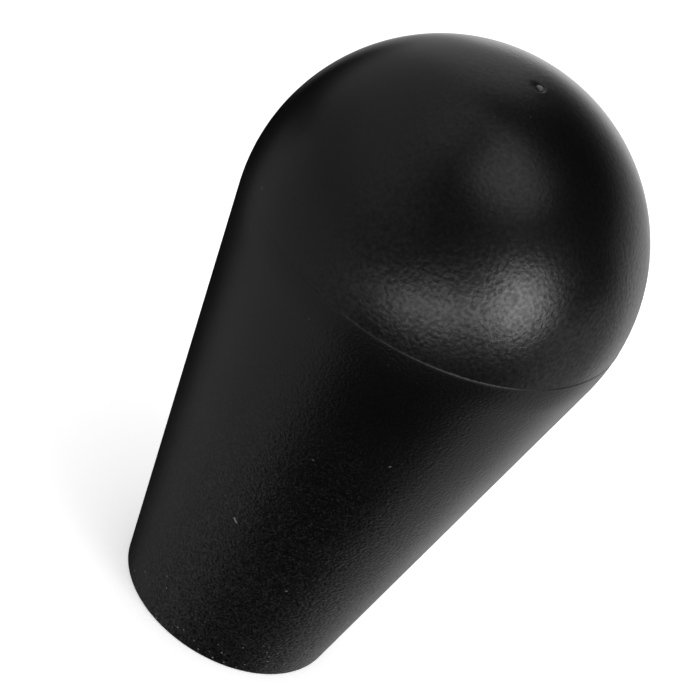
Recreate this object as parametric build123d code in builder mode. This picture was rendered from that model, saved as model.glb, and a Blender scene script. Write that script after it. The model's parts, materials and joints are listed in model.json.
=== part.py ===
"""Bat-top handle for the lever of an arcade joystick.

The handle is one plastic moulding, a ball that runs into a cone with a socket in its foot. A knurled
brass insert is moulded in above the socket, and screws onto the threaded end of the lever's shaft.

All sizes are in millimetres. The origin is the centre of the flat foot, and +Z runs up the axis of the
handle to the crown of the ball.
"""

from build123d import *

import os
from math import asin, atan2, degrees, hypot, radians, sqrt, tan

# Outside of the handle
BALL_DIAMETER = 30.0
OVERALL_HEIGHT = 51.7  # to the crown of the ball; the gate's stub stands a little higher
FOOT_DIAMETER = 17.0  # cone and foot meet here, before their edge is rounded
FOOT_EDGE_RADIUS = 0.25

# Parting line: the fine ridge left round the ball's widest circle, where the mould halves meet
RIDGE_WIDTH = 0.24
RIDGE_HEIGHT = 0.05

# Gate mark: the dimple in the crown, and the trimmed stub that stands in it, to one side
DIMPLE_DIAMETER = 1.7
DIMPLE_DEPTH = 0.1
STUB_DIAMETER = 0.6
STUB_HEIGHT = 0.2
STUB_OFFSET = 0.35

# Socket in the foot, which covers the shoulder of the shaft
SHAFT_DIAMETER = 10.0
SHAFT_CLEARANCE = 0.25
SOCKET_DEPTH = 8.0
SOCKET_CHAMFER = 0.5

# Blind M6 thread in the insert, left at its tapping size
THREAD_DIAMETER = 6.0
THREAD_PITCH = 1.0
THREAD_DEPTH = 10.0
THREAD_LEAD_IN = 0.25
DRILL_POINT_ANGLE = 118.0

# Outside of the insert: a turned core with two knurled bands, and a groove between them
CORE_WALL = 0.9
CORE_END_WALL = 1.5
CORE_CHAMFER = 0.4
BAND_HEIGHT = 0.6
BAND_TO_END = 1.0
GROOVE_WIDTH = 2.0
KNURL_COUNT = 16
KNURL_DEPTH = 0.4

# Ball and cone: the cone's side leaves the foot's corner and meets the ball at a tangent
ball_radius = BALL_DIAMETER / 2
foot_radius = FOOT_DIAMETER / 2
ball_centre = OVERALL_HEIGHT - ball_radius
corner_to_centre = hypot(foot_radius, ball_centre)
cone_angle = degrees(asin(ball_radius / corner_to_centre) - atan2(foot_radius, ball_centre))
ridge_angle = degrees(asin(RIDGE_WIDTH / BALL_DIAMETER))

# Socket, thread and insert
socket_radius = SHAFT_DIAMETER / 2 + SHAFT_CLEARANCE
tapping_radius = (THREAD_DIAMETER - THREAD_PITCH) / 2
countersink_radius = THREAD_DIAMETER / 2 + THREAD_LEAD_IN
drill_point_height = tapping_radius / tan(radians(DRILL_POINT_ANGLE / 2))
core_radius = THREAD_DIAMETER / 2 + CORE_WALL
core_length = THREAD_DEPTH + drill_point_height + CORE_END_WALL
band_radius = core_radius + BAND_HEIGHT
band_length = (core_length - 2 * BAND_TO_END - GROOVE_WIDTH) / 2
band_bases = (SOCKET_DEPTH + BAND_TO_END, SOCKET_DEPTH + BAND_TO_END + band_length + GROOVE_WIDTH)
upright = (Align.CENTER, Align.CENTER, Align.MIN)


# Outer form of the insert, which the plastic flows round
with BuildPart() as insert_blank:
    with Locations((0, 0, SOCKET_DEPTH)):
        Cylinder(core_radius, core_length, align=upright)
    chamfer(insert_blank.edges().group_by(Axis.Z)[-1], CORE_CHAMFER)
    for base in band_bases:
        with BuildSketch(Plane.XY.offset(base)):
            Circle(band_radius)
            with PolarLocations(band_radius, KNURL_COUNT):
                Rectangle(KNURL_DEPTH * sqrt(2), KNURL_DEPTH * sqrt(2), rotation=45, mode=Mode.SUBTRACT)
        extrude(amount=band_length)


# Threaded insert, flush with the ceiling of the socket and closed at its upper end
with BuildPart() as threaded_insert:
    add(insert_blank.part)
    with Locations(Location((0, 0, SOCKET_DEPTH), (180, 0, 0))):
        CounterSinkHole(tapping_radius, countersink_radius, THREAD_DEPTH, counter_sink_angle=90)
    with Locations((0, 0, SOCKET_DEPTH + THREAD_DEPTH)):
        Cone(tapping_radius, 0, drill_point_height, align=upright, mode=Mode.SUBTRACT)


# Handle body: the outline is turned about the axis, then the foot and the crown are worked
with BuildPart() as handle_body:
    with BuildSketch(Plane.XZ):
        with BuildLine():
            below_ridge = CenterArc((0, ball_centre), ball_radius, -cone_angle, cone_angle - ridge_angle)
            above_ridge = CenterArc((0, ball_centre), ball_radius, ridge_angle, 90 - ridge_angle)
            Polyline(below_ridge @ 1, (ball_radius + RIDGE_HEIGHT, ball_centre), above_ridge @ 0)
            Polyline(below_ridge @ 0, (foot_radius, 0), (0, 0), above_ridge @ 1)
        make_face()
    revolve(axis=Axis.Z)
    fillet(handle_body.edges().group_by(Axis.Z)[0], FOOT_EDGE_RADIUS)

    Hole(socket_radius, SOCKET_DEPTH)
    mouth = handle_body.edges().group_by(Axis.Z)[0].sort_by(SortBy.RADIUS)[0]
    chamfer(mouth, SOCKET_CHAMFER)
    add(insert_blank.part, mode=Mode.SUBTRACT)

    dimple_radius = ((DIMPLE_DIAMETER / 2) ** 2 + DIMPLE_DEPTH**2) / (2 * DIMPLE_DEPTH)
    dimple_floor = OVERALL_HEIGHT - DIMPLE_DEPTH
    with Locations((0, 0, dimple_floor + dimple_radius)):
        Sphere(dimple_radius, mode=Mode.SUBTRACT)
    with Locations((STUB_OFFSET, 0, dimple_floor)):
        Cylinder(STUB_DIAMETER / 2, STUB_HEIGHT, align=upright)


handle_body.part.label = "handle_body"
threaded_insert.part.label = "threaded_insert"

os.makedirs("parts", exist_ok=True)
export_step(handle_body.part, "parts/handle_body.step")
export_step(threaded_insert.part, "parts/threaded_insert.step")
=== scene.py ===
"""Looks of the bat-top handle of an arcade joystick lever.

The handle is one black plastic moulding with a fine matt grain, a parting line round its ball and a gate
mark in its crown. A knurled brass insert with an M6 thread sits in its foot. Everything is in metres, in
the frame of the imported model: the foot stands on Z = 0 and +Z runs up the axis of the handle.
"""

import json
import logging
import math
from collections.abc import Callable
from dataclasses import dataclass
from enum import Enum

import bpy
from mathutils import Matrix, Vector


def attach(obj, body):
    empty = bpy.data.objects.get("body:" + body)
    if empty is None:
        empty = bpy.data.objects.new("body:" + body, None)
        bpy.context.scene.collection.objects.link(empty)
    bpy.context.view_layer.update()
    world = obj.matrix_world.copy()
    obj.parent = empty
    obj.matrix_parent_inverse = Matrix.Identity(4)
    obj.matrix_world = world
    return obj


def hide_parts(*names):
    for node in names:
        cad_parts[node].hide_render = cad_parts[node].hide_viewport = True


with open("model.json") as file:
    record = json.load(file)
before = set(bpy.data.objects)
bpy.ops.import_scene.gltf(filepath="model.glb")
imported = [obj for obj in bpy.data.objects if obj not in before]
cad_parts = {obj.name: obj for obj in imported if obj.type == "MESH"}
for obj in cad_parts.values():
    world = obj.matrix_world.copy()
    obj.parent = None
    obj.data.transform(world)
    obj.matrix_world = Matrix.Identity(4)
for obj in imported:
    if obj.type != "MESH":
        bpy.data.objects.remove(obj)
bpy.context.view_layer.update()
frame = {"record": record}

Colour = tuple[float, float, float]
Span = tuple[float, float]
Socket = bpy.types.NodeSocket

LOG = logging.getLogger("bat_top_handle")
MM = 0.001
FULL_TURN = 2 * math.pi
MERGE_DISTANCE = 0.001 * MM
UNIT: Span = (0.0, 1.0)

# Middle of the noise texture, and the range that it mostly keeps to
NOISE_MIDDLE = 0.5
NOISE_RANGE: Span = (0.3, 0.7)


class Slot(Enum):
    """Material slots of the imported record."""

    PLASTIC = "moulded_plastic"
    BRASS = "insert_brass"


class Sight(Enum):
    """How a thing on the set is seen: in the handle's reflections alone, or by all but those."""

    REFLECTIONS = "reflections"
    DIRECT = "direct"

    def limit(self, thing: bpy.types.Object) -> None:
        """Hides a thing from the rays that shouldn't see it.

        Args:
            thing: The object to hide.
        """
        mirrored = self is Sight.REFLECTIONS
        thing.visible_glossy = mirrored
        for ray in ("camera", "diffuse", "transmission", "shadow"):
            setattr(thing, f"visible_{ray}", not mirrored)


def mount_size(name: str, key: str) -> float:
    """Reads a size of one of the part's mounts.

    Args:
        name: The mount's name in the record.
        key: The dimension's name, which ends in _mm.

    Returns:
        The size in metres.
    """
    found = next(m for m in frame["record"]["mounts"] if m["name"] == name)
    return found["dims"][key] * MM


def select_only(piece: bpy.types.Object) -> None:
    """Makes one object the only one selected, and the active one.

    Args:
        piece: The object.
    """
    bpy.ops.object.select_all(action="DESELECT")
    piece.select_set(True)
    bpy.context.view_layer.objects.active = piece


def select_points(piece: bpy.types.Object, chosen: Callable[[Vector], bool]) -> None:
    """Opens a piece in edit mode, with only some of its points selected.

    Args:
        piece: The object.
        chosen: Tells whether the point at a given place is selected.
    """
    select_only(piece)
    bpy.ops.object.mode_set(mode="EDIT")
    bpy.ops.mesh.select_mode(type="VERT")
    bpy.ops.mesh.select_all(action="DESELECT")
    bpy.ops.object.mode_set(mode="OBJECT")
    for point in piece.data.vertices:
        point.select = chosen(point.co)
    bpy.ops.object.mode_set(mode="EDIT")


def close_mesh() -> None:
    """Merges the doubles of the mesh in edit mode, turns its faces outwards, and leaves edit mode."""
    bpy.ops.mesh.select_all(action="SELECT")
    bpy.ops.mesh.remove_doubles(threshold=MERGE_DISTANCE)
    bpy.ops.mesh.normals_make_consistent(inside=False)
    bpy.ops.object.mode_set(mode="OBJECT")


def heading(azimuth: float, elevation: float) -> Vector:
    """Gives the direction from the handle to a thing on the set.

    Args:
        azimuth: Degrees round from the camera's side, towards +X.
        elevation: Degrees above the horizon.

    Returns:
        A unit vector.
    """
    turn, rise = math.radians(azimuth), math.radians(elevation)
    return Vector((math.sin(turn) * math.cos(rise), -math.cos(turn) * math.cos(rise), math.sin(rise)))


class NodeTree:
    """Short hand for adding and joining the nodes of one material or world."""

    def __init__(self, owner: bpy.types.Material | bpy.types.World) -> None:
        """Clears the owner's nodes and keeps its tree.

        Args:
            owner: The material or world.
        """
        owner.use_nodes = True
        self.tree = owner.node_tree
        self.tree.nodes.clear()

    def add(self, kind: str, **settings: object) -> bpy.types.Node:
        """Adds a node.

        Args:
            kind: The node's type name.
            **settings: Properties of the node, such as operation.

        Returns:
            The new node.
        """
        node = self.tree.nodes.new(kind)
        for key, value in settings.items():
            setattr(node, key, value)
        return node

    def join(self, source: Socket, target: Socket) -> None:
        """Links an output to an input."""
        self.tree.links.new(source, target)

    def place(self) -> Socket:
        """Gives the place of a point on its piece."""
        return self.add("ShaderNodeTexCoord").outputs["Object"]

    def principled(self) -> bpy.types.Node:
        """Adds a surface, and joins it to the material's output.

        Returns:
            The surface's node.
        """
        surface = self.add("ShaderNodeBsdfPrincipled")
        self.join(surface.outputs["BSDF"], self.add("ShaderNodeOutputMaterial").inputs["Surface"])
        return surface

    def bump(
        self, surface: bpy.types.Node, pattern: Socket, depth: float, strength: Socket | None = None
    ) -> None:
        """Raises a pattern on a surface.

        Args:
            surface: The surface's node.
            pattern: The pattern, from 0 to 1.
            depth: How far 1 stands above 0, in metres.
            strength: How much of it shows, or nothing for all of it.
        """
        node = self.add("ShaderNodeBump")
        node.inputs["Distance"].default_value = depth
        self.join(pattern, node.inputs["Height"])
        if strength is not None:
            self.join(strength, node.inputs["Strength"])
        self.join(node.outputs["Normal"], surface.inputs["Normal"])

    def math(self, operation: str, first: Socket | float, second: Socket | float | None = None) -> Socket:
        """Adds a Math node, and gives its output."""
        return self._reckon("ShaderNodeMath", operation, first, second).outputs[0]

    def vector(self, operation: str, first: Socket, second: Socket | Vector | None = None) -> Socket:
        """Adds a Vector Math node, and gives its output: a number for a distance or a length."""
        node = self._reckon("ShaderNodeVectorMath", operation, first, second)
        return node.outputs["Value" if operation in ("DISTANCE", "LENGTH") else "Vector"]

    def _reckon(self, kind: str, operation: str, *values: object) -> bpy.types.Node:
        """Adds a node that works something out.

        Args:
            kind: The node's type name.
            operation: The node's operation.
            *values: A socket, a constant or nothing for each input.

        Returns:
            The new node.
        """
        node = self.add(kind, operation=operation)
        for target, value in zip(node.inputs, values):
            if isinstance(value, Socket):
                self.join(value, target)
            elif value is not None:
                target.default_value = value
        return node

    def noise(self, place: Socket, size: float, detail: float = 3.0) -> Socket:
        """Adds a cloudy pattern.

        Args:
            place: The coordinates to read.
            size: The width of one cloud, in metres.
            detail: How many finer layers it has.

        Returns:
            The pattern, from 0 to 1.
        """
        node = self.add("ShaderNodeTexNoise")
        node.inputs["Scale"].default_value = 1 / size
        node.inputs["Detail"].default_value = detail
        self.join(place, node.inputs["Vector"])
        return node.outputs["Fac"]

    def cells(self, place: Socket, size: float) -> tuple[Socket, Socket, Socket]:
        """Adds a pattern of cells, each with random numbers of its own.

        Args:
            place: The coordinates to read.
            size: The width of one cell, in metres.

        Returns:
            The distance from the cell's middle, where 1 is its width, and two of its random numbers.
        """
        pattern = self.add("ShaderNodeTexVoronoi")
        pattern.inputs["Scale"].default_value = 1 / size
        self.join(place, pattern.inputs["Vector"])
        lots = self.add("ShaderNodeSeparateColor")
        self.join(pattern.outputs["Color"], lots.inputs["Color"])
        return pattern.outputs["Distance"], lots.outputs["Red"], lots.outputs["Green"]

    def spread(self, value: Socket, start: Span, end: Span, smooth: bool = False) -> Socket:
        """Maps one range of values to another, and holds it there.

        Args:
            value: The socket to map.
            start: The range that it has.
            end: The range that it gets.
            smooth: True for a soft start and end.

        Returns:
            The mapped value.
        """
        node = self.add("ShaderNodeMapRange", interpolation_type="SMOOTHSTEP" if smooth else "LINEAR")
        for key, number in zip(("From Min", "From Max", "To Min", "To Max"), (*start, *end)):
            node.inputs[key].default_value = number
        self.join(value, node.inputs["Value"])
        return node.outputs["Result"]

    def blend(self, share: Socket, under: Colour | Socket, over: Colour) -> Socket:
        """Lays one colour over another.

        Args:
            share: How much of the upper colour shows.
            under: The lower colour, or the socket that holds it.
            over: The upper colour.

        Returns:
            The mixed colour.
        """
        node = self.add("ShaderNodeMix", data_type="RGBA")
        self.join(share, node.inputs["Factor"])
        if isinstance(under, Socket):
            self.join(under, node.inputs["A"])
        else:
            node.inputs["A"].default_value = (*under, 1.0)
        node.inputs["B"].default_value = (*over, 1.0)
        return node.outputs["Result"]


@dataclass(frozen=True)
class Mark:
    """A short pale stroke between two points: lint, a scuff, or the gate stub's painted highlight."""

    start: Vector
    end: Vector
    width: float = 0.08 * MM
    paleness: float = 0.6
    soft_edge: Span = (0.5, 1.5)

    def mask(self, nodes: NodeTree, place: Socket) -> Socket:
        """Draws the stroke.

        Args:
            nodes: The material's nodes.
            place: Object coordinates.

        Returns:
            The stroke's paleness on it, and 0 off it.
        """
        along = self.end - self.start
        half = along.length / 2
        offset = nodes.vector("SUBTRACT", place, (self.start + self.end) / 2)
        nearest = nodes.vector("PROJECT", offset, along.normalized())
        aside = nodes.vector("DISTANCE", offset, nearest)
        reach = nodes.vector("LENGTH", nearest)
        edge = (self.soft_edge[0] * self.width, self.soft_edge[1] * self.width)
        across = nodes.spread(aside, edge, (self.paleness, 0.0), smooth=True)
        within = nodes.spread(reach, (half, half + self.width), (1.0, 0.0), smooth=True)
        return nodes.math("MULTIPLY", across, within)


@dataclass(frozen=True)
class HandleZones:
    """Where a point of the handle lies, as sockets that the parts of its finish share."""

    place: Socket
    side: Socket
    height: Socket
    above_line: Socket
    upper: Socket
    lower: Socket
    rubbed: Socket
    ridge: Socket


@dataclass(frozen=True)
class MouldedPlastic:
    """Black plastic from a spark-eroded mould, with a finer grain below the parting line than above it.

    Hands have rubbed the grain nearly away on the left. Speckle, wear and a dusting of specks grow towards
    the foot. Shade is painted into the grain's hollows, sheen on its peaks and a highlight on the gate's
    stub. A pair of shares or strengths holds the value at the foot, then the one at the top of the fade.
    """

    parting_height: float
    crest_middle: float
    crest_reach: Span
    marks: tuple[Mark, ...]

    # Colour
    dark: Colour = (0.0010, 0.0010, 0.0010)
    light: Colour = (0.0095, 0.0095, 0.0096)
    upper_tint: float = 0.082

    # Grain
    upper_grain: float = 0.31 * MM
    lower_grain: float = 0.23 * MM
    grain_height: float = 0.046 * MM
    grain_detail: float = 1.0
    grain_falloff: float = 0.45
    upper_strength: float = 0.5
    lower_strength: Span = (1.35, 0.65)
    foot_fade: Span = (3.0 * MM, 31.0 * MM)
    crown_strength: float = 0.55
    crown_fade: Span = (5.0 * MM, 13.0 * MM)
    rubbed_strength: float = 0.12
    rubbed_side: Span = (-8.0 * MM, -2.0 * MM)

    # Shine, with painted shade in the grain's hollows and painted sheen on its peaks
    shine: float = 0.5
    upper_painted_shade: float = 0.75
    lower_painted_shade: Span = (1.7, 0.1)

    # Ridge of the parting line
    ridge_half: float = 0.22 * MM
    ridge_dulling: float = 0.06
    ridge_roughness: float = 0.25

    # Roughness
    smoothest: float = 0.32
    roughest: float = 0.35
    cloud_size: float = 6.0 * MM
    wear: Span = (0.12, 0.02)
    worn_top: float = 20.0 * MM

    # Speckle below the parting line
    speckle_size: float = 0.11 * MM
    speckle_sharpness: float = 5.0
    speckle_share: Span = (2.5, 0.05)

    # Dust, whose pale colour also draws the marks and the painted highlight on the gate's stub
    dust_and_highlight: Colour = (0.17, 0.165, 0.16)
    dust_spacing: float = 0.42 * MM
    dust_radius: float = 0.095 * MM
    dust_core: float = 0.4
    dust_base: float = 0.1 * MM
    dust_top: float = 9.0 * MM
    dust_share: float = 0.7
    dust_gathering: float = 2.0
    dust_paleness: Span = (0.3, 1.0)
    stray_share: float = 0.004
    stray_paleness: float = 0.15

    def material(self) -> bpy.types.Material:
        """Makes the material.

        Returns:
            The new material.
        """
        made = bpy.data.materials.new("black_moulded_plastic")
        nodes = NodeTree(made)
        surface = nodes.principled()
        zones = self._zones(nodes)
        self._raise_grain(nodes, zones, surface)
        # Specks, lint and scuffs, and a painted highlight on the gate's stub
        dust_and_highlight = self._dust_and_highlight(nodes, zones)
        nodes.join(nodes.blend(dust_and_highlight, self._tint(nodes, zones), self.dust_and_highlight), surface.inputs["Base Color"])
        roughness = self._roughness(nodes, zones)
        nodes.join(nodes.math("MAXIMUM", roughness, dust_and_highlight), surface.inputs["Roughness"])
        return made

    def _zones(self, nodes: NodeTree) -> HandleZones:
        """Works out where a point lies on the handle.

        Args:
            nodes: The material's nodes.

        Returns:
            The zones, each from 0 to 1, with the places that they come from.
        """
        place = nodes.place()
        axes = nodes.add("ShaderNodeSeparateXYZ")
        nodes.join(place, axes.inputs["Vector"])
        side, height = axes.outputs["X"], axes.outputs["Z"]
        above_line = nodes.math("SUBTRACT", height, self.parting_height)
        from_line = nodes.math("ABSOLUTE", above_line)
        upper = nodes.math("GREATER_THAN", height, self.parting_height)
        lower = nodes.math("SUBTRACT", 1.0, upper)
        rubbed = nodes.spread(side, self.rubbed_side, (1.0, 0.0), smooth=True)
        ridge = nodes.spread(from_line, (0.0, self.ridge_half), (1.0, 0.0), smooth=True)
        return HandleZones(place, side, height, above_line, upper, lower, rubbed, ridge)

    def _by_half(self, nodes: NodeTree, zones: HandleZones, upper: float, lower: Span) -> Socket:
        """Gives the upper half one value, and fades the lower half from the foot to the parting line."""
        below = nodes.math("MULTIPLY", zones.lower, nodes.spread(zones.height, self.foot_fade, lower))
        return nodes.math("MAXIMUM", below, nodes.math("MULTIPLY", zones.upper, upper))

    def _raise_grain(self, nodes: NodeTree, zones: HandleZones, surface: bpy.types.Node) -> None:
        """Raises the grain, paints shade into its hollows and sheen on its peaks, and dulls the rubbed
        ridge.

        Args:
            nodes: The material's nodes.
            zones: The handle's zones.
            surface: The surface's node.
        """
        grain = nodes.add("ShaderNodeTexNoise")
        grain.inputs["Detail"].default_value = self.grain_detail
        grain.inputs["Roughness"].default_value = self.grain_falloff
        scale = nodes.spread(zones.upper, UNIT, (1 / self.lower_grain, 1 / self.upper_grain))
        nodes.join(scale, grain.inputs["Scale"])
        nodes.join(zones.place, grain.inputs["Vector"])
        pattern = grain.outputs["Fac"]

        crown = nodes.spread(zones.above_line, self.crown_fade, (1.0, self.crown_strength), smooth=True)
        unrubbed = nodes.spread(zones.rubbed, UNIT, (1.0, self.rubbed_strength))
        kept = nodes.math("MULTIPLY", crown, unrubbed)
        strength = self._by_half(nodes, zones, self.upper_strength, self.lower_strength)
        nodes.bump(surface, pattern, self.grain_height, nodes.math("MULTIPLY", kept, strength))

        # Painted shade in the grain's hollows and painted sheen on its peaks, through the specular level
        relief = nodes.math("MULTIPLY", nodes.math("SUBTRACT", pattern, NOISE_MIDDLE), kept)
        depth = self._by_half(nodes, zones, self.upper_painted_shade, self.lower_painted_shade)
        shade = nodes.math("MULTIPLY", relief, depth)
        rubbed_ridge = nodes.math("MULTIPLY", zones.ridge, zones.rubbed)
        dulled = nodes.math("MULTIPLY", rubbed_ridge, self.ridge_dulling)
        shine = nodes.math("ADD", shade, nodes.spread(dulled, UNIT, (self.shine, 0.0)))
        nodes.join(shine, surface.inputs["Specular IOR Level"])

    def _tint(self, nodes: NodeTree, zones: HandleZones) -> Socket:
        """Mixes the plastic's own colour: even above the parting line, and speckled below it.

        Args:
            nodes: The material's nodes.
            zones: The handle's zones.

        Returns:
            The colour.
        """
        _, lot, _ = nodes.cells(zones.place, self.speckle_size)
        speckle = nodes.math("POWER", lot, self.speckle_sharpness)
        fade = nodes.spread(zones.height, self.foot_fade, self.speckle_share)
        flecks = nodes.math("MULTIPLY", nodes.math("MULTIPLY", speckle, fade), zones.lower)
        even = nodes.math("MULTIPLY", zones.upper, self.upper_tint)
        return nodes.blend(nodes.math("MAXIMUM", flecks, even), self.dark, self.light)

    def _roughness(self, nodes: NodeTree, zones: HandleZones) -> Socket:
        """Sets how matt the plastic is: cloudy, worn towards the foot, and dull on the ridge's crest.

        Args:
            nodes: The material's nodes.
            zones: The handle's zones.

        Returns:
            The roughness.
        """
        clouds = nodes.noise(zones.place, self.cloud_size)
        even = nodes.spread(clouds, NOISE_RANGE, (self.smoothest, self.roughest))
        wear = nodes.spread(zones.height, (0.0, self.worn_top), self.wear)
        worn = nodes.math("ADD", even, nodes.math("MULTIPLY", wear, zones.lower))
        aside = nodes.math("ABSOLUTE", nodes.math("SUBTRACT", zones.side, self.crest_middle))
        crest = nodes.spread(aside, self.crest_reach, (self.ridge_roughness, 0.0))
        return nodes.math("ADD", worn, nodes.math("MULTIPLY", zones.ridge, crest))

    def _dust_and_highlight(self, nodes: NodeTree, zones: HandleZones) -> Socket:
        """Scatters pale specks, thickest at the foot and few above dust_top, and adds the marks.

        Args:
            nodes: The material's nodes.
            zones: The handle's zones.

        Returns:
            How much of the pale colour shows, for specks, marks and the gate stub's painted highlight.
        """
        distance, lot, second_lot = nodes.cells(zones.place, self.dust_spacing)
        radius = self.dust_radius / self.dust_spacing
        spot = nodes.spread(distance, (self.dust_core * radius, radius), (1.0, 0.0), smooth=True)
        near_foot = nodes.spread(zones.height, (0.0, self.dust_top), (1.0, 0.0))
        crowding = nodes.math("POWER", near_foot, self.dust_gathering)
        gathered = nodes.math("MULTIPLY", crowding, self.dust_share)
        kept = nodes.math("LESS_THAN", lot, nodes.math("MAXIMUM", gathered, self.stray_share))
        paleness = nodes.spread(second_lot, UNIT, self.dust_paleness)
        settled = nodes.spread(zones.height, (0.0, 2 * self.dust_top), (1.0, self.stray_paleness))
        off_edge = nodes.math("GREATER_THAN", zones.height, self.dust_base)
        spot = nodes.math("MULTIPLY", spot, nodes.math("MULTIPLY", settled, off_edge))
        dust_and_highlight = nodes.math("MULTIPLY", spot, nodes.math("MULTIPLY", kept, paleness))
        # The marks, the gate stub's painted highlight among them
        for mark in self.marks:
            dust_and_highlight = nodes.math("MAXIMUM", dust_and_highlight, mark.mask(nodes, zones.place))
        return dust_and_highlight


@dataclass(frozen=True)
class TurnedBrass:
    """Brass bar, turned and tapped, with fine tool lines round its axis."""

    pale: Colour = (0.78, 0.58, 0.27)
    deep: Colour = (0.62, 0.43, 0.17)
    smoothest: float = 0.22
    roughest: float = 0.38
    tool_pitch: float = 0.12 * MM
    tool_depth: float = 0.002 * MM
    tool_waver: float = 1.0
    tarnish_size: float = 2.5 * MM

    def material(self) -> bpy.types.Material:
        """Makes the material.

        Returns:
            The new material.
        """
        made = bpy.data.materials.new("turned_brass")
        nodes = NodeTree(made)
        place = nodes.place()
        surface = nodes.principled()
        surface.inputs["Metallic"].default_value = 1.0

        tarnish = nodes.noise(place, self.tarnish_size)
        nodes.join(nodes.blend(tarnish, self.pale, self.deep), surface.inputs["Base Color"])
        roughness = nodes.spread(tarnish, NOISE_RANGE, (self.smoothest, self.roughest))
        nodes.join(roughness, surface.inputs["Roughness"])

        lines = nodes.add("ShaderNodeTexWave", wave_type="RINGS", rings_direction="Z")
        lines.inputs["Scale"].default_value = 1 / (self.tool_pitch * FULL_TURN)
        lines.inputs["Distortion"].default_value = self.tool_waver
        nodes.join(place, lines.inputs["Vector"])
        nodes.bump(surface, lines.outputs["Fac"], self.tool_depth)
        return made


class Outline:
    """An outline drawn point by point in an upright plane, for turning about the Z axis."""

    def __init__(self, name: str, radius: float, height: float, azimuth: float = 90.0) -> None:
        """Starts the outline.

        Args:
            name: The piece's name.
            radius: Distance of the first point from the axis.
            height: Height of the first point.
            azimuth: Degrees round to the upright plane that it is drawn in; 90 is the X-Z plane.
        """
        bpy.ops.object.select_all(action="DESELECT")
        bpy.ops.mesh.primitive_plane_add(size=MM)
        self.piece = bpy.context.object
        self.piece.name = name
        bpy.ops.object.mode_set(mode="EDIT")
        bpy.ops.mesh.select_all(action="SELECT")
        bpy.ops.mesh.merge(type="CENTER")
        self.outward = heading(azimuth, 0)
        self.pen = self._point(radius, height)
        bpy.ops.transform.translate(value=tuple(self.pen))

    def line(self, radius: float, height: float, steps: int = 1) -> "Outline":
        """Draws a straight stretch.

        Args:
            radius: Distance of its end from the axis.
            height: Height of its end.
            steps: How many edges it has.

        Returns:
            This outline.
        """
        start = self.pen.copy()
        for step in range(1, steps + 1):
            self._extrude(start.lerp(self._point(radius, height), step / steps))
        return self

    def arc(self, centre: Span, radius: float, start: float, end: float, steps: int) -> "Outline":
        """Draws a round stretch, with a straight edge to its first point if that lies apart.

        Args:
            centre: Distance from the axis and height of the arc's centre.
            radius: The arc's radius.
            start: Its first angle, in degrees up from the horizontal.
            end: Its last angle.
            steps: How many edges it has.

        Returns:
            This outline.
        """
        for step in range(steps + 1):
            angle = math.radians(start + (end - start) * step / steps)
            point = self._point(centre[0] + radius * math.cos(angle), centre[1] + radius * math.sin(angle))
            if (point - self.pen).length > MERGE_DISTANCE:
                self._extrude(point)
        return self

    def turn(self, segments: int, sweep: float = 360.0) -> bpy.types.Object:
        """Turns the outline about the Z axis and closes the mesh.

        Args:
            segments: How many flats go round the axis.
            sweep: How far it turns, in degrees of azimuth.

        Returns:
            The finished object.
        """
        bpy.ops.mesh.select_all(action="SELECT")
        bpy.ops.mesh.spin(steps=segments, angle=-math.radians(sweep), center=(0, 0, 0), axis=(0, 0, 1))
        close_mesh()
        return self.piece

    def _point(self, radius: float, height: float) -> Vector:
        """Gives the place of a point of the outline."""
        return self.outward * radius + Vector((0, 0, height))

    def _extrude(self, point: Vector) -> None:
        """Pulls the outline's last point on to a new place.

        Args:
            point: The new place.
        """
        move = point - self.pen
        bpy.ops.mesh.extrude_region_move(TRANSFORM_OT_translate={"value": tuple(move)})
        self.pen = point


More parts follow.
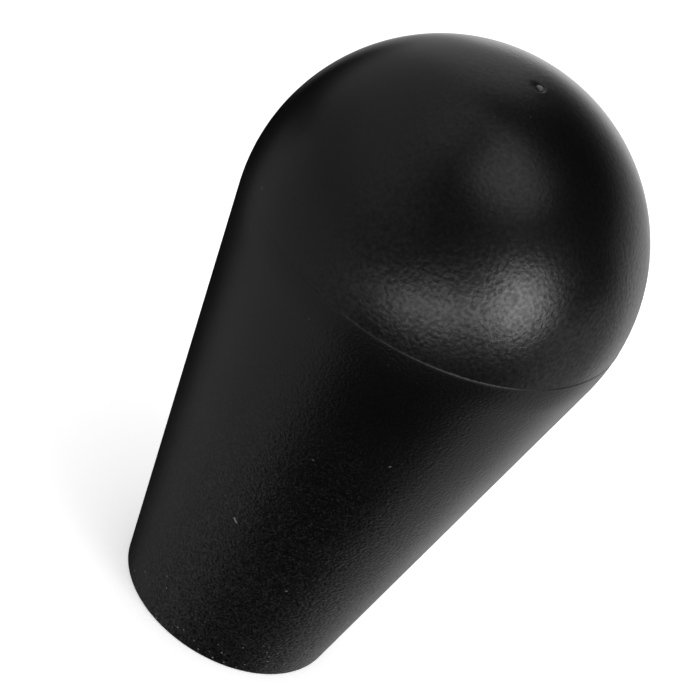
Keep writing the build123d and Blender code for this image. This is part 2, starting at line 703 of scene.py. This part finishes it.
@dataclass
class ThreadedInsert:
    """Brass insert, flush with the socket's ceiling: a turned core, two knurled bands and a blind thread."""

    seat: float
    bore_radius: float
    thread_radius: float = 3.0 * MM
    thread_pitch: float = 1.0 * MM
    thread_depth: float = 10.0 * MM
    lead_in: float = 0.25 * MM
    point_angle: float = 118.0
    core_wall: float = 0.9 * MM
    end_wall: float = 1.5 * MM
    core_chamfer: float = 0.4 * MM
    band_height: float = 0.6 * MM
    band_to_end: float = 1.0 * MM
    groove_width: float = 2.0 * MM
    knurl_count: int = 16
    knurl_depth: float = 0.4 * MM
    knurl_slack: float = 0.1
    facets_per_knurl: int = 4
    thread_steps: int = 64
    flank_angle: float = 30.0
    flat_share: float = 1 / 8
    tap_overlap: float = 0.2 * MM
    run_in_turns: float = 1.5
    crease_angle: float = 20.0

    @property
    def core_radius(self) -> float:
        """Radius of the turned core."""
        return self.thread_radius + self.core_wall

    @property
    def band_radius(self) -> float:
        """Radius over the knurls."""
        return self.core_radius + self.band_height

    @property
    def point_height(self) -> float:
        """Height of the drill's cone at the end of the bore."""
        return self.bore_radius / math.tan(math.radians(self.point_angle / 2))

    @property
    def length(self) -> float:
        """Length of the insert."""
        return self.thread_depth + self.point_height + self.end_wall

    @property
    def band_length(self) -> float:
        """Length of one knurled band."""
        return (self.length - 2 * self.band_to_end - self.groove_width) / 2

    def trace_outside(self, outline: Outline) -> None:
        """Draws the outside from the insert's lower face up to its closed end.

        Args:
            outline: An outline whose last point is on the lower face, at or inside the core's radius.
        """
        height = self.seat
        outline.line(self.core_radius, height)
        for stretch, gap in ((self.band_length, self.band_to_end), (self.band_length, self.groove_width)):
            height += gap
            outline.line(self.core_radius, height).line(self.band_radius, height)
            height += stretch
            outline.line(self.band_radius, height).line(self.core_radius, height)
        top = self.seat + self.length
        outline.line(self.core_radius, top - self.core_chamfer)
        outline.line(self.core_radius - self.core_chamfer, top).line(0, top)

    def build(self) -> bpy.types.Object:
        """Models the insert: a turned blank, its knurls, and its tapped thread.

        Returns:
            The finished piece.
        """
        mouth = self.thread_radius + self.lead_in
        outline = Outline("threaded_brass_insert", 0, self.seat + self.thread_depth + self.point_height)
        outline.line(self.bore_radius, self.seat + self.thread_depth)
        outline.line(self.bore_radius, self.seat + mouth - self.bore_radius)
        outline.line(mouth, self.seat)
        self.trace_outside(outline)
        piece = outline.turn(self.knurl_count * self.facets_per_knurl)
        self._knurl(piece)
        self._tap(piece)
        select_only(piece)
        bpy.ops.object.shade_smooth_by_angle(angle=math.radians(self.crease_angle))
        return piece

    def _knurl(self, piece: bpy.types.Object) -> None:
        """Presses a groove between each two knurls of the bands.

        Args:
            piece: The turned blank, with its points in even steps round the axis.
        """
        select_points(piece, self._in_groove)
        shrink = 1 - self.knurl_depth / self.band_radius
        bpy.ops.transform.resize(value=(shrink, shrink, 1), center_override=(0, 0, 0))
        bpy.ops.object.mode_set(mode="OBJECT")

    def _in_groove(self, place: Vector) -> bool:
        """Tells whether a point of the turned blank is pressed in between two knurls.

        Args:
            place: The point's place.

        Returns:
            True if it lies on a band, at the middle of a groove.
        """
        on_band = abs(math.hypot(place.x, place.y) - self.band_radius) < MERGE_DISTANCE
        turn = math.atan2(place.y, place.x) * self.knurl_count / FULL_TURN
        return on_band and abs(turn - round(turn)) < self.knurl_slack

    def _tap(self, piece: bpy.types.Object) -> None:
        """Cuts the thread with a coil of the tap's own section.

        Args:
            piece: The drilled insert.
        """
        inside = self.bore_radius - self.tap_overlap
        flat = self.flat_share * self.thread_pitch / 2
        flare = (self.thread_radius - inside) * math.tan(math.radians(self.flank_angle))
        start = self.seat - self.run_in_turns * self.thread_pitch
        section = Outline("tap", inside, start - flat - flare)
        section.line(self.thread_radius, start - flat).line(self.thread_radius, start + flat)
        section.line(inside, start + flat + flare)
        bpy.ops.mesh.select_all(action="SELECT")
        bpy.ops.mesh.edge_face_add()
        bpy.ops.object.mode_set(mode="OBJECT")
        tap = section.piece
        select_only(tap)
        screw = tap.modifiers.new("screw", "SCREW")
        screw.screw_offset = self.thread_pitch
        screw.iterations = round(self.thread_depth / self.thread_pitch)
        screw.steps = screw.render_steps = self.thread_steps
        bpy.ops.object.modifier_apply(modifier=screw.name)
        bpy.ops.object.mode_set(mode="EDIT")
        close_mesh()
        select_only(piece)
        cut = piece.modifiers.new("thread", "BOOLEAN")
        cut.operation = "DIFFERENCE"
        cut.solver = "EXACT"
        cut.object = tap
        bpy.ops.object.modifier_apply(modifier=cut.name)
        bpy.data.objects.remove(tap)

    def dress(self, piece: bpy.types.Object) -> None:
        """Gives the insert its finish, and its place in the frame.

        Args:
            piece: The built insert.
        """
        piece.data.materials.clear()
        piece.data.materials.append(TurnedBrass().material())
        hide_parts("threaded_insert")
        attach(piece, "root")


@dataclass
class HandleBody:
    """The moulded handle: a ball that runs into a cone, with a socket in its foot."""

    insert: ThreadedInsert
    socket_radius: float
    socket_depth: float
    ball_radius: float = 15.0 * MM
    height: float = 51.7 * MM
    foot_radius: float = 8.5 * MM
    foot_edge: float = 0.25 * MM
    ridge_width: float = 0.24 * MM
    ridge_height: float = 0.05 * MM
    ridge_wear: float = 0.9
    crest_middle: float = 4.5 * MM
    crest_reach: Span = (5.5 * MM, 12.5 * MM)
    dimple_radius: float = 0.85 * MM
    dimple_depth: float = 0.1 * MM
    stub_radius: float = 0.3 * MM
    stub_height: float = 0.2 * MM
    stub_rounding: float = 0.19 * MM
    stub_offset: float = 0.35 * MM
    # Width of the painted highlight on the gate's stub, as a share of the stub's radius
    stub_highlight_share: float = 0.8
    lint_width: float = 0.06 * MM
    socket_chamfer: float = 0.5 * MM
    support: float = 0.03 * MM
    crease_angle: float = 32.0
    segments: int = 192
    dimple_steps: int = 8
    rounding_steps: int = 6
    ball_steps: int = 64
    tangent_steps: int = 10
    cone_steps: int = 40

    @property
    def ball_centre(self) -> float:
        """Height of the ball's centre."""
        return self.height - self.ball_radius

    @property
    def cone_angle(self) -> float:
        """Slope of the cone's side from the axis, in degrees, where it is tangent to the ball."""
        reach = math.hypot(self.foot_radius, self.ball_centre)
        lean = math.atan2(self.foot_radius, self.ball_centre)
        return math.degrees(math.asin(self.ball_radius / reach) - lean)

    @property
    def dimple_floor(self) -> float:
        """Height of the dimple's deepest point."""
        return self.height - self.dimple_depth

    @property
    def bowl_radius(self) -> float:
        """Radius of the round bowl that makes the dimple."""
        return (self.dimple_radius**2 + self.dimple_depth**2) / (2 * self.dimple_depth)

    @property
    def rim_radius(self) -> float:
        """Distance from the axis at which the dimple meets the ball."""
        apart = self.ball_radius - self.dimple_depth + self.bowl_radius
        along = (apart**2 + self.ball_radius**2 - self.bowl_radius**2) / (2 * apart)
        return math.sqrt(self.ball_radius**2 - along**2)

    def build(self) -> bpy.types.Object:
        """Models the handle from one turned outline.

        Returns:
            The finished piece.
        """
        outline = Outline("moulded_handle", 0, self.dimple_floor + self.stub_height)
        self._trace_gate(outline)
        self._trace_ball(outline)
        self._trace_foot(outline)
        outline.line(self.socket_radius, self.socket_depth)
        self.insert.trace_outside(outline)
        piece = outline.turn(self.segments)
        self._shift_stub(piece)
        self._wear_ridge(piece)
        bpy.ops.object.shade_smooth_by_angle(angle=math.radians(self.crease_angle))
        return piece

    def on_side(self, azimuth: float, height: float) -> Vector:
        """Gives the point of the outside at an azimuth and a height."""
        return heading(azimuth, 0) * self.radius_at(height) + Vector((0, 0, height))

    def marks(self) -> tuple[Mark, ...]:
        """Lists the marks: a painted highlight on the gate's stub, and what handling has left.

        Returns:
            The marks.
        """
        stub_foot = Vector((self.stub_offset, 0, self.dimple_floor))
        stub_top = stub_foot + Vector((0, 0, self.stub_height))
        return (
            # Painted highlight: a pale stroke up the side of the gate's stub
            Mark(stub_foot, stub_top, self.stub_highlight_share * self.stub_radius),
            Mark(self.on_side(-12.9, 14.38 * MM), self.on_side(-11.2, 14.12 * MM)),
            Mark(self.on_side(22.7, 26.37 * MM), self.on_side(22.4, 26.25 * MM), self.lint_width, 0.4),
            Mark(self.on_side(0.8, 23.83 * MM), self.on_side(1.2, 23.76 * MM), paleness=0.15),
            Mark(self.on_side(19.5, 10.30 * MM), self.on_side(20.2, 10.36 * MM), self.lint_width, 0.4),
            Mark(self.on_side(-57.5, 37.98 * MM), self.on_side(-57.2, 37.86 * MM), paleness=0.2),
        )

    def radius_at(self, height: float) -> float:
        """Gives the distance of the outside from the axis.

        Args:
            height: Height above the foot.

        Returns:
            The radius of the ball or the cone there.
        """
        slope = math.radians(self.cone_angle)
        if height < self.ball_centre - self.ball_radius * math.sin(slope):
            return self.foot_radius + height * math.tan(slope)
        return math.sqrt(self.ball_radius**2 - (height - self.ball_centre) ** 2)

    def _shift_stub(self, piece: bpy.types.Object) -> None:
        """Moves the gate's stub to one side of its dimple.

        Args:
            piece: The turned handle, with the stub in the middle.
        """
        reach = self.stub_radius + MERGE_DISTANCE
        select_points(piece, lambda at: at.z > self.dimple_floor and math.hypot(at.x, at.y) < reach)
        bpy.ops.transform.translate(
            value=(self.stub_offset, 0, 0),
            use_proportional_edit=True,
            proportional_edit_falloff="SMOOTH",
            proportional_size=self.dimple_radius,
        )
        bpy.ops.object.mode_set(mode="OBJECT")

    def _wear_ridge(self, piece: bpy.types.Object) -> None:
        """Rubs the parting line's ridge down towards the ball, on both sides of its crest.

        Args:
            piece: The turned handle.
        """
        bpy.ops.object.select_all(action="DESELECT")
        bpy.ops.object.empty_add(location=(0, 0, self.ball_centre))
        middle = bpy.context.object
        worn = piece.vertex_groups.new(name="worn_ridge")
        near, far = self.crest_reach
        for point in piece.data.vertices:
            if abs(point.co.z - self.ball_centre) < self.ridge_width:
                share = (abs(point.co.x - self.crest_middle) - near) / (far - near)
                worn.add([point.index], min(max(share, 0.0), 1.0), "REPLACE")
        select_only(piece)
        cast = piece.modifiers.new("wear", "CAST")
        cast.object = middle
        cast.use_radius_as_size = False
        cast.size = self.ball_radius
        cast.factor = self.ridge_wear
        cast.vertex_group = worn.name
        bpy.ops.object.modifier_apply(modifier=cast.name)
        piece.vertex_groups.clear()
        bpy.data.objects.remove(middle)

    def _trace_gate(self, outline: Outline) -> None:
        """Draws the trimmed stub in the crown, and the dimple round it.

        Args:
            outline: The outline, at the middle of the stub's top.
        """
        shoulder = self.stub_radius - self.stub_rounding
        level = self.dimple_floor + self.stub_height - self.stub_rounding
        outline.arc((shoulder, level), self.stub_rounding, 90, 0, self.rounding_steps)
        for step in range(self.dimple_steps + 1):
            reach = self.stub_radius + (self.rim_radius - self.stub_radius) * step / self.dimple_steps
            sink = self.dimple_depth * (1 + math.cos(math.pi * reach / self.rim_radius)) / 2
            outline.line(reach, self.ball_centre + math.sqrt(self.ball_radius**2 - reach**2) - sink)

    def _trace_ball(self, outline: Outline) -> None:
        """Draws the ball from the dimple's rim, over the parting line, to the cone.

        Args:
            outline: The outline, at the dimple's rim.
        """
        centre = (0, self.ball_centre)
        rim = math.degrees(math.acos(self.rim_radius / self.ball_radius))
        half = self.ridge_width / 2
        edge = math.degrees(math.asin(half / self.ball_radius))
        margin = math.degrees(self.support / self.ball_radius)
        outline.arc(centre, self.ball_radius, rim - margin, edge + margin, self.ball_steps)
        bow = (half**2 + self.ridge_height**2) / (2 * self.ridge_height)
        sweep = math.degrees(math.asin(half / bow))
        bow_centre = (self.ball_radius + self.ridge_height - bow, self.ball_centre)
        outline.arc(bow_centre, bow, sweep, -sweep, self.rounding_steps)
        outline.arc(centre, self.ball_radius, -edge - margin, -self.cone_angle, self.tangent_steps)

    def _trace_foot(self, outline: Outline) -> None:
        """Draws the cone's side, the rounded edge of the foot, and the mouth of the socket.

        Args:
            outline: The outline, where the ball meets the cone.
        """
        slope = math.radians(self.cone_angle)
        inset = self.foot_edge * (1 / math.cos(slope) - math.tan(slope))
        edge_centre = (self.foot_radius - inset, self.foot_edge)
        start_radius = edge_centre[0] + self.foot_edge * math.cos(slope) + self.support * math.sin(slope)
        start_height = self.foot_edge * (1 - math.sin(slope)) + self.support * math.cos(slope)
        outline.line(start_radius, start_height, self.cone_steps)
        outline.arc(edge_centre, self.foot_edge, -self.cone_angle, -90, self.rounding_steps)
        outline.line(edge_centre[0] - self.support, 0)
        outline.line(self.socket_radius + self.socket_chamfer, 0)
        outline.line(self.socket_radius, self.socket_chamfer)

    def dress(self, piece: bpy.types.Object) -> None:
        """Gives the handle its finish, and its place in the frame.

        Args:
            piece: The built handle.
        """
        piece.data.materials.clear()
        finish = MouldedPlastic(self.ball_centre, self.crest_middle, self.crest_reach, self.marks())
        piece.data.materials.append(finish.material())
        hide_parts("handle_body")
        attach(piece, "root")


@dataclass(frozen=True)
class SoftLamp:
    """A flat oval lamp that faces the ball. Its place is given as seen from the ball's centre."""

    name: str
    azimuth: float
    elevation: float
    distance: float
    size: Span
    radiance: float
    roll: float

    def place(self, target: Vector) -> None:
        """Stands the lamp on the set.

        Args:
            target: The point that it faces.
        """
        data = bpy.data.lights.new(self.name, "AREA")
        data.shape = "ELLIPSE"
        data.size, data.size_y = self.size
        area = math.pi / 4 * data.size * data.size_y
        data.energy = self.radiance * math.pi * area
        lamp = bpy.data.objects.new(self.name, data)
        bpy.context.scene.collection.objects.link(lamp)
        away = heading(self.azimuth, self.elevation)
        across = Vector((0, 0, 1)).cross(away).normalized()
        facing = Matrix((across, away.cross(across), away)).transposed()
        facing = facing @ Matrix.Rotation(math.radians(self.roll), 3, "Z")
        lamp.matrix_world = Matrix.LocRotScale(target + away * self.distance, facing.to_quaternion(), None)
        lamp.visible_camera = False


@dataclass(frozen=True)
class TentPanel:
    """A glowing panel of the tent. Its place is given as seen from the ball's centre."""

    name: str
    glow: float
    azimuths: Span
    elevations: Span
    flats: int = 24

    def place(self, target: Vector, radius: float) -> None:
        """Hangs the panel in the tent.

        Args:
            target: The tent's centre.
            radius: The panel's distance from there.
        """
        first, last = self.azimuths
        low = math.radians(self.elevations[0])
        outline = Outline(self.name, radius * math.cos(low), target.z + radius * math.sin(low), first)
        outline.arc((0, target.z), radius, *self.elevations, self.flats)
        dress_tent(outline.turn(self.flats, last - first), self.glow)


def dress_tent(thing: bpy.types.Object, glow: float) -> None:
    """Gives a part of the tent an even glow, and hides it from all but reflections.

    Args:
        thing: The object.
        glow: Its brightness, where 1 is white.
    """
    made = bpy.data.materials.new(thing.name)
    nodes = NodeTree(made)
    light = nodes.add("ShaderNodeEmission")
    light.inputs["Strength"].default_value = glow
    nodes.join(light.outputs["Emission"], nodes.add("ShaderNodeOutputMaterial").inputs["Surface"])
    thing.data.materials.clear()
    thing.data.materials.append(made)
    Sight.REFLECTIONS.limit(thing)


@dataclass
class Studio:
    """White floor and background, soft lamps, and a black tent with panels for the plastic to mirror."""

    ball_centre: Vector
    floor_radius: float = 4.0
    floor_sides: int = 96
    floor_grey: float = 0.9
    floor_glow: float = 0.40
    sky: float = 0.78
    tent_radius: float = 1.5
    tent_segments: int = 48
    tent_rings: int = 24
    panel_radius: float = 1.4

    def build(self) -> None:
        """Builds the set."""
        self._light_world()
        self._lay_floor()
        self._raise_tent()
        for lamp in self.lamps():
            lamp.place(self.ball_centre)
        for panel in self.panels():
            panel.place(self.ball_centre, self.panel_radius)

    def lamps(self) -> tuple[SoftLamp, ...]:
        """Lists the lamps."""
        return (
            SoftLamp("key_lamp", 56.0, 12.8, 0.300, size=(0.166, 0.178), radiance=5.2, roll=30.0),
            SoftLamp("key_core", 57.0, 12.0, 0.300, size=(0.050, 0.050), radiance=3.0, roll=30.0),
            SoftLamp("front_lamp", 9.6, -1.9, 0.210, size=(0.310, 0.090), radiance=0.65, roll=17.0),
            SoftLamp("strip_lamp", 17.0, -0.4, 0.217, size=(0.215, 0.072), radiance=2.15, roll=17.0),
            SoftLamp("top_lamp", 55.5, 73.3, 0.350, size=(0.240, 0.200), radiance=1.05, roll=-33.0),
        )

    def panels(self) -> tuple[TentPanel, ...]:
        """Lists the tent's panels."""
        return (
            TentPanel("right_panel", 0.43, (82.0, 131.0), (-60.0, 0.0)),
            TentPanel("right_rear_panel", 0.94, (131.0, 165.0), (-60.0, 0.0)),
            TentPanel("back_panel", 1.80, (165.0, 190.0), (-25.0, 0.0)),
            TentPanel("back_edge_panel", 0.60, (190.0, 200.0), (-25.0, 0.0)),
            TentPanel("back_upper_panel", 0.35, (120.0, 180.0), (0.0, 15.0)),
            TentPanel("back_left_panel", 0.55, (180.0, 210.0), (0.0, 50.0)),
            TentPanel("back_high_panel", 0.92, (120.0, 210.0), (74.0, 89.0)),
            TentPanel("left_rear_panel", 0.32, (210.0, 240.0), (0.0, 60.0)),
            TentPanel("left_panel", 0.22, (240.0, 322.0), (0.0, 20.0)),
            TentPanel("left_upper_panel", 0.34, (240.0, 322.0), (20.0, 60.0)),
            TentPanel("left_high_panel", 0.50, (210.0, 300.0), (60.0, 74.0)),
            TentPanel("left_edge_panel", 0.22, (234.0, 248.0), (-60.0, -10.0)),
            TentPanel("left_low_panel", 0.30, (248.0, 338.0), (-89.0, 0.0)),
            TentPanel("front_left_panel", 0.18, (322.0, 345.0), (5.0, 45.0)),
        )

    def _background(self, nodes: NodeTree) -> Socket:
        """Tells camera, mirror and glass rays, which see the white background, from the rest.

        Args:
            nodes: The nodes of the material or world.

        Returns:
            1 for those rays and 0 for the rest.
        """
        path = nodes.add("ShaderNodeLightPath").outputs
        seen = nodes.math("MAXIMUM", path["Is Camera Ray"], path["Is Glossy Ray"])
        return nodes.math("MAXIMUM", seen, path["Is Transmission Ray"])

    def _light_world(self) -> None:
        """Makes a white world that lights the set softly."""
        world = bpy.data.worlds.new("white_room")
        bpy.context.scene.world = world
        nodes = NodeTree(world)
        sky = nodes.add("ShaderNodeBackground")
        sky.inputs["Color"].default_value = (1.0, 1.0, 1.0, 1.0)
        strength = nodes.spread(self._background(nodes), UNIT, (self.sky, 1.0))
        nodes.join(strength, sky.inputs["Strength"])
        nodes.join(sky.outputs["Background"], nodes.add("ShaderNodeOutputWorld").inputs["Surface"])

    def _lay_floor(self) -> None:
        """Lays a white floor, lifted to plain white where nothing shades it."""
        bpy.ops.object.select_all(action="DESELECT")
        bpy.ops.mesh.primitive_circle_add(
            vertices=self.floor_sides, radius=self.floor_radius, fill_type="NGON"
        )
        floor = bpy.context.object
        floor.name = "white_floor"
        made = bpy.data.materials.new("white_floor")
        nodes = NodeTree(made)
        matt = nodes.add("ShaderNodeBsdfDiffuse")
        matt.inputs["Color"].default_value = (self.floor_grey, self.floor_grey, self.floor_grey, 1.0)
        glow = nodes.add("ShaderNodeEmission")
        glow_strength = nodes.spread(self._background(nodes), UNIT, (0.0, self.floor_glow))
        nodes.join(glow_strength, glow.inputs["Strength"])
        both = nodes.add("ShaderNodeAddShader")
        nodes.join(matt.outputs["BSDF"], both.inputs[0])
        nodes.join(glow.outputs["Emission"], both.inputs[1])
        nodes.join(both.outputs["Shader"], nodes.add("ShaderNodeOutputMaterial").inputs["Surface"])
        floor.data.materials.append(made)
        Sight.DIRECT.limit(floor)

    def _raise_tent(self) -> None:
        """Raises a black tent round the set, which only reflections see."""
        bpy.ops.object.select_all(action="DESELECT")
        bpy.ops.mesh.primitive_uv_sphere_add(
            segments=self.tent_segments,
            ring_count=self.tent_rings,
            radius=self.tent_radius,
            location=self.ball_centre,
        )
        tent = bpy.context.object
        tent.name = "black_tent"
        dress_tent(tent, 0.0)


@dataclass(frozen=True)
class PhotoCamera:
    """The camera, at the photograph's angle: it looks down on the ball and is rolled to one side."""

    distance: float = 273.24 * MM
    elevation: float = 31.404
    roll: float = -31.096
    pan: float = -1.3519
    tilt: float = 1.6023
    lens: float = 196.3
    sensor: float = 36.0
    clip: Span = (1.0 * MM, 20.0)

    def place(self, target: Vector) -> None:
        """Sets up the camera.

        Args:
            target: The ball's centre, which the camera's distance and elevation are measured from.
        """
        data = bpy.data.cameras.new("photo_camera")
        data.lens, data.sensor_width = self.lens, self.sensor
        data.clip_start, data.clip_end = self.clip
        camera = bpy.data.objects.new("photo_camera", data)
        bpy.context.scene.collection.objects.link(camera)
        back = heading(0.0, self.elevation)
        right = Vector((1, 0, 0))
        level = Matrix((right, back.cross(right), back))
        turned = Matrix.Rotation(math.radians(self.roll), 3, "Z") @ level
        turned = Matrix.Rotation(math.radians(self.pan), 3, "Y") @ turned
        turned = Matrix.Rotation(math.radians(self.tilt), 3, "X") @ turned
        place = target + back * self.distance
        camera.matrix_world = Matrix.LocRotScale(place, turned.transposed().to_quaternion(), None)
        bpy.context.scene.camera = camera


def main() -> None:
    """Builds the handle, its finish and the set, and reports each piece."""
    logging.basicConfig(level=logging.INFO, format="%(name)s: %(message)s")
    depth = mount_size("lever_socket", "length_mm") + HandleBody.socket_chamfer
    insert = ThreadedInsert(seat=depth, bore_radius=mount_size("lever_thread", "r_mm"))
    handle = HandleBody(insert, socket_radius=mount_size("lever_socket", "r_mm"), socket_depth=depth)
    for assembly in (handle, insert):
        piece = assembly.build()
        assembly.dress(piece)
        LOG.info("%s has %d faces", piece.name, len(piece.data.polygons))
    ball_centre = Vector((0, 0, handle.ball_centre))
    Studio(ball_centre).build()
    PhotoCamera().place(ball_centre)
    bpy.context.scene.view_settings.view_transform = "Standard"


if __name__ == "__main__":
    main()
